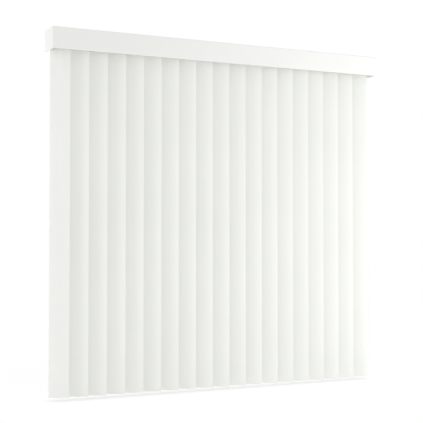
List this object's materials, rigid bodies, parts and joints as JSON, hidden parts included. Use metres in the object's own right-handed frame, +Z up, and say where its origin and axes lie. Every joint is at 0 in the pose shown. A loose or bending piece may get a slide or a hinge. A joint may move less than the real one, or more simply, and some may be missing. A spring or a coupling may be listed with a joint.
{
  "type": "vertical blind",
  "caption": "Vertical blind: bowed off-white vanes on traversing, tilting carriers in a wall-mounted headrail, behind a plain box valance with returns.",
  "frame": {"origin": "centre of the four outer wall screws, on the wall's surface", "axes": "+X along the headrail to the right as seen from the room, +Y into the wall, +Z up"},
  "size_m": [1.67, 0.118, 1.5972],
  "materials": {
    "vane_vinyl": "satin",
    "valance_vinyl": "satin",
    "moulded_white": "satin",
    "carrier_plastic": "satin",
    "rail_enamel": "enamelled white",
    "rod_aluminium": "mill",
    "bracket_steel": "zinc plated",
    "clip_steel": "spring steel"
  },
  "bodies": {
    "frame": {"headrail": "rail_enamel", "end_cap_left": "moulded_white", "end_cap_right": "moulded_white", "end_cap_screws": "bracket_steel", "valance_panel": "valance_vinyl", "valance_return_left": "valance_vinyl", "valance_return_right": "valance_vinyl", "valance_corner_left": "moulded_white", "valance_corner_right": "moulded_white", "valance_clip_left": "moulded_white", "valance_clip_centre": "moulded_white", "valance_clip_right": "moulded_white", "wall_bracket_left": "bracket_steel", "wall_bracket_centre": "bracket_steel", "wall_bracket_right": "bracket_steel", "rail_clip_left": "clip_steel", "rail_clip_centre": "clip_steel", "rail_clip_right": "clip_steel", "clip_bolts": "bracket_steel", "clip_nuts": "bracket_steel"},
    "tilt_rod": {"tilt_rod": "rod_aluminium"},
    "carrier_01": {"carrier_01": "carrier_plastic"},
    "vane_01": {"vane_01": "vane_vinyl"},
    "carrier_02": {"carrier_02": "carrier_plastic"},
    "vane_02": {"vane_02": "vane_vinyl"},
    "carrier_03": {"carrier_03": "carrier_plastic"},
    "vane_03": {"vane_03": "vane_vinyl"},
    "carrier_04": {"carrier_04": "carrier_plastic"},
    "vane_04": {"vane_04": "vane_vinyl"},
    "carrier_05": {"carrier_05": "carrier_plastic"},
    "vane_05": {"vane_05": "vane_vinyl"},
    "carrier_06": {"carrier_06": "carrier_plastic"},
    "vane_06": {"vane_06": "vane_vinyl"},
    "carrier_07": {"carrier_07": "carrier_plastic"},
    "vane_07": {"vane_07": "vane_vinyl"},
    "carrier_08": {"carrier_08": "carrier_plastic"},
    "vane_08": {"vane_08": "vane_vinyl"},
    "carrier_09": {"carrier_09": "carrier_plastic"},
    "vane_09": {"vane_09": "vane_vinyl"},
    "carrier_10": {"carrier_10": "carrier_plastic"},
    "vane_10": {"vane_10": "vane_vinyl"},
    "carrier_11": {"carrier_11": "carrier_plastic"},
    "vane_11": {"vane_11": "vane_vinyl"},
    "carrier_12": {"carrier_12": "carrier_plastic"},
    "vane_12": {"vane_12": "vane_vinyl"},
    "carrier_13": {"carrier_13": "carrier_plastic"},
    "vane_13": {"vane_13": "vane_vinyl"},
    "carrier_14": {"carrier_14": "carrier_plastic"},
    "vane_14": {"vane_14": "vane_vinyl"},
    "carrier_15": {"carrier_15": "carrier_plastic"},
    "vane_15": {"vane_15": "vane_vinyl"},
    "carrier_16": {"carrier_16": "carrier_plastic"},
    "vane_16": {"vane_16": "vane_vinyl"},
    "carrier_17": {"carrier_17": "carrier_plastic"},
    "vane_17": {"vane_17": "vane_vinyl"},
    "carrier_18": {"carrier_18": "carrier_plastic"},
    "vane_18": {"vane_18": "vane_vinyl"},
    "carrier_19": {"carrier_19": "carrier_plastic"},
    "vane_19": {"vane_19": "vane_vinyl"}
  },
  "joints": [
    {"name": "traverse_01", "type": "slide", "parent": "frame", "child": "carrier_01", "axis": [1, 0, 0], "range_m": [0, 1.128]},
    {"name": "traverse_02", "type": "slide", "parent": "frame", "child": "carrier_02", "axis": [1, 0, 0], "range_m": [0, 1.066]},
    {"name": "traverse_03", "type": "slide", "parent": "frame", "child": "carrier_03", "axis": [1, 0, 0], "range_m": [0, 1.004]},
    {"name": "traverse_04", "type": "slide", "parent": "frame", "child": "carrier_04", "axis": [1, 0, 0], "range_m": [0, 0.942]},
    {"name": "traverse_05", "type": "slide", "parent": "frame", "child": "carrier_05", "axis": [1, 0, 0], "range_m": [0, 0.88]},
    {"name": "traverse_06", "type": "slide", "parent": "frame", "child": "carrier_06", "axis": [1, 0, 0], "range_m": [0, 0.818]},
    {"name": "traverse_07", "type": "slide", "parent": "frame", "child": "carrier_07", "axis": [1, 0, 0], "range_m": [0, 0.756]},
    {"name": "traverse_08", "type": "slide", "parent": "frame", "child": "carrier_08", "axis": [1, 0, 0], "range_m": [0, 0.694]},
    {"name": "traverse_09", "type": "slide", "parent": "frame", "child": "carrier_09", "axis": [1, 0, 0], "range_m": [0, 0.632]},
    {"name": "traverse_10", "type": "slide", "parent": "frame", "child": "carrier_10", "axis": [1, 0, 0], "range_m": [0, 0.57]},
    {"name": "traverse_11", "type": "slide", "parent": "frame", "child": "carrier_11", "axis": [1, 0, 0], "range_m": [0, 0.508]},
    {"name": "traverse_12", "type": "slide", "parent": "frame", "child": "carrier_12", "axis": [1, 0, 0], "range_m": [0, 0.446]},
    {"name": "traverse_13", "type": "slide", "parent": "frame", "child": "carrier_13", "axis": [1, 0, 0], "range_m": [0, 0.384]},
    {"name": "traverse_14", "type": "slide", "parent": "frame", "child": "carrier_14", "axis": [1, 0, 0], "range_m": [0, 0.322]},
    {"name": "traverse_15", "type": "slide", "parent": "frame", "child": "carrier_15", "axis": [1, 0, 0], "range_m": [0, 0.26]},
    {"name": "traverse_16", "type": "slide", "parent": "frame", "child": "carrier_16", "axis": [1, 0, 0], "range_m": [0, 0.198]},
    {"name": "traverse_17", "type": "slide", "parent": "frame", "child": "carrier_17", "axis": [1, 0, 0], "range_m": [0, 0.136]},
    {"name": "traverse_18", "type": "slide", "parent": "frame", "child": "carrier_18", "axis": [1, 0, 0], "range_m": [0, 0.074]},
    {"name": "traverse_19", "type": "slide", "parent": "frame", "child": "carrier_19", "axis": [1, 0, 0], "range_m": [0, 0.012]},
    {"name": "tilt_01", "type": "hinge", "parent": "carrier_01", "child": "vane_01", "pos_m": [-0.7845, -0.059, -0.0082], "axis": [0, 0, -1], "range_deg": [-12, 138]},
    {"name": "tilt_02", "type": "hinge", "parent": "carrier_02", "child": "vane_02", "pos_m": [-0.6985, -0.059, -0.0082], "axis": [0, 0, -1], "range_deg": [-12, 138]},
    {"name": "tilt_03", "type": "hinge", "parent": "carrier_03", "child": "vane_03", "pos_m": [-0.6125, -0.059, -0.0082], "axis": [0, 0, -1], "range_deg": [-12, 138]},
    {"name": "tilt_04", "type": "hinge", "parent": "carrier_04", "child": "vane_04", "pos_m": [-0.5265, -0.059, -0.0082], "axis": [0, 0, -1], "range_deg": [-12, 138]},
    {"name": "tilt_05", "type": "hinge", "parent": "carrier_05", "child": "vane_05", "pos_m": [-0.4405, -0.059, -0.0082], "axis": [0, 0, -1], "range_deg": [-12, 138]},
    {"name": "tilt_06", "type": "hinge", "parent": "carrier_06", "child": "vane_06", "pos_m": [-0.3545, -0.059, -0.0082], "axis": [0, 0, -1], "range_deg": [-12, 138]},
    {"name": "tilt_07", "type": "hinge", "parent": "carrier_07", "child": "vane_07", "pos_m": [-0.2685, -0.059, -0.0082], "axis": [0, 0, -1], "range_deg": [-12, 138]},
    {"name": "tilt_08", "type": "hinge", "parent": "carrier_08", "child": "vane_08", "pos_m": [-0.1825, -0.059, -0.0082], "axis": [0, 0, -1], "range_deg": [-12, 138]},
    {"name": "tilt_09", "type": "hinge", "parent": "carrier_09", "child": "vane_09", "pos_m": [-0.0965, -0.059, -0.0082], "axis": [0, 0, -1], "range_deg": [-12, 138]},
    {"name": "tilt_10", "type": "hinge", "parent": "carrier_10", "child": "vane_10", "pos_m": [-0.0105, -0.059, -0.0082], "axis": [0, 0, -1], "range_deg": [-12, 138]},
    {"name": "tilt_11", "type": "hinge", "parent": "carrier_11", "child": "vane_11", "pos_m": [0.0755, -0.059, -0.0082], "axis": [0, 0, -1], "range_deg": [-12, 138]},
    {"name": "tilt_12", "type": "hinge", "parent": "carrier_12", "child": "vane_12", "pos_m": [0.1615, -0.059, -0.0082], "axis": [0, 0, -1], "range_deg": [-12, 138]},
    {"name": "tilt_13", "type": "hinge", "parent": "carrier_13", "child": "vane_13", "pos_m": [0.2475, -0.059, -0.0082], "axis": [0, 0, -1], "range_deg": [-12, 138]},
    {"name": "tilt_14", "type": "hinge", "parent": "carrier_14", "child": "vane_14", "pos_m": [0.3335, -0.059, -0.0082], "axis": [0, 0, -1], "range_deg": [-12, 138]},
    {"name": "tilt_15", "type": "hinge", "parent": "carrier_15", "child": "vane_15", "pos_m": [0.4195, -0.059, -0.0082], "axis": [0, 0, -1], "range_deg": [-12, 138]},
    {"name": "tilt_16", "type": "hinge", "parent": "carrier_16", "child": "vane_16", "pos_m": [0.5055, -0.059, -0.0082], "axis": [0, 0, -1], "range_deg": [-12, 138]},
    {"name": "tilt_17", "type": "hinge", "parent": "carrier_17", "child": "vane_17", "pos_m": [0.5915, -0.059, -0.0082], "axis": [0, 0, -1], "range_deg": [-12, 138]},
    {"name": "tilt_18", "type": "hinge", "parent": "carrier_18", "child": "vane_18", "pos_m": [0.6775, -0.059, -0.0082], "axis": [0, 0, -1], "range_deg": [-12, 138]},
    {"name": "tilt_19", "type": "hinge", "parent": "carrier_19", "child": "vane_19", "pos_m": [0.7635, -0.059, -0.0082], "axis": [0, 0, -1], "range_deg": [-12, 138]},
    {"name": "tilt_rod_turn", "type": "hinge", "parent": "frame", "child": "tilt_rod", "pos_m": [0, -0.04935, 0.0087], "axis": [1, 0, 0], "range_deg": [-144, 1656]}
  ],
  "couplings": [
    {"joint": "traverse_02", "follows": "traverse_01", "ratio": 0.94504},
    {"joint": "traverse_03", "follows": "traverse_01", "ratio": 0.89007},
    {"joint": "traverse_04", "follows": "traverse_01", "ratio": 0.83511},
    {"joint": "traverse_05", "follows": "traverse_01", "ratio": 0.78014},
    {"joint": "traverse_06", "follows": "traverse_01", "ratio": 0.72518},
    {"joint": "traverse_07", "follows": "traverse_01", "ratio": 0.67021},
    {"joint": "traverse_08", "follows": "traverse_01", "ratio": 0.61525},
    {"joint": "traverse_09", "follows": "traverse_01", "ratio": 0.56028},
    {"joint": "traverse_10", "follows": "traverse_01", "ratio": 0.50532},
    {"joint": "traverse_11", "follows": "traverse_01", "ratio": 0.45035},
    {"joint": "traverse_12", "follows": "traverse_01", "ratio": 0.39539},
    {"joint": "traverse_13", "follows": "traverse_01", "ratio": 0.34043},
    {"joint": "traverse_14", "follows": "traverse_01", "ratio": 0.28546},
    {"joint": "traverse_15", "follows": "traverse_01", "ratio": 0.2305},
    {"joint": "traverse_16", "follows": "traverse_01", "ratio": 0.17553},
    {"joint": "traverse_17", "follows": "traverse_01", "ratio": 0.12057},
    {"joint": "traverse_18", "follows": "traverse_01", "ratio": 0.065603},
    {"joint": "traverse_19", "follows": "traverse_01", "ratio": 0.010638},
    {"joint": "tilt_02", "follows": "tilt_01", "ratio": 1},
    {"joint": "tilt_03", "follows": "tilt_01", "ratio": 1},
    {"joint": "tilt_04", "follows": "tilt_01", "ratio": 1},
    {"joint": "tilt_05", "follows": "tilt_01", "ratio": 1},
    {"joint": "tilt_06", "follows": "tilt_01", "ratio": 1},
    {"joint": "tilt_07", "follows": "tilt_01", "ratio": 1},
    {"joint": "tilt_08", "follows": "tilt_01", "ratio": 1},
    {"joint": "tilt_09", "follows": "tilt_01", "ratio": 1},
    {"joint": "tilt_10", "follows": "tilt_01", "ratio": 1},
    {"joint": "tilt_11", "follows": "tilt_01", "ratio": 1},
    {"joint": "tilt_12", "follows": "tilt_01", "ratio": 1},
    {"joint": "tilt_13", "follows": "tilt_01", "ratio": 1},
    {"joint": "tilt_14", "follows": "tilt_01", "ratio": 1},
    {"joint": "tilt_15", "follows": "tilt_01", "ratio": 1},
    {"joint": "tilt_16", "follows": "tilt_01", "ratio": 1},
    {"joint": "tilt_17", "follows": "tilt_01", "ratio": 1},
    {"joint": "tilt_18", "follows": "tilt_01", "ratio": 1},
    {"joint": "tilt_19", "follows": "tilt_01", "ratio": 1},
    {"joint": "tilt_rod_turn", "follows": "tilt_01", "ratio": 12}
  ]
}
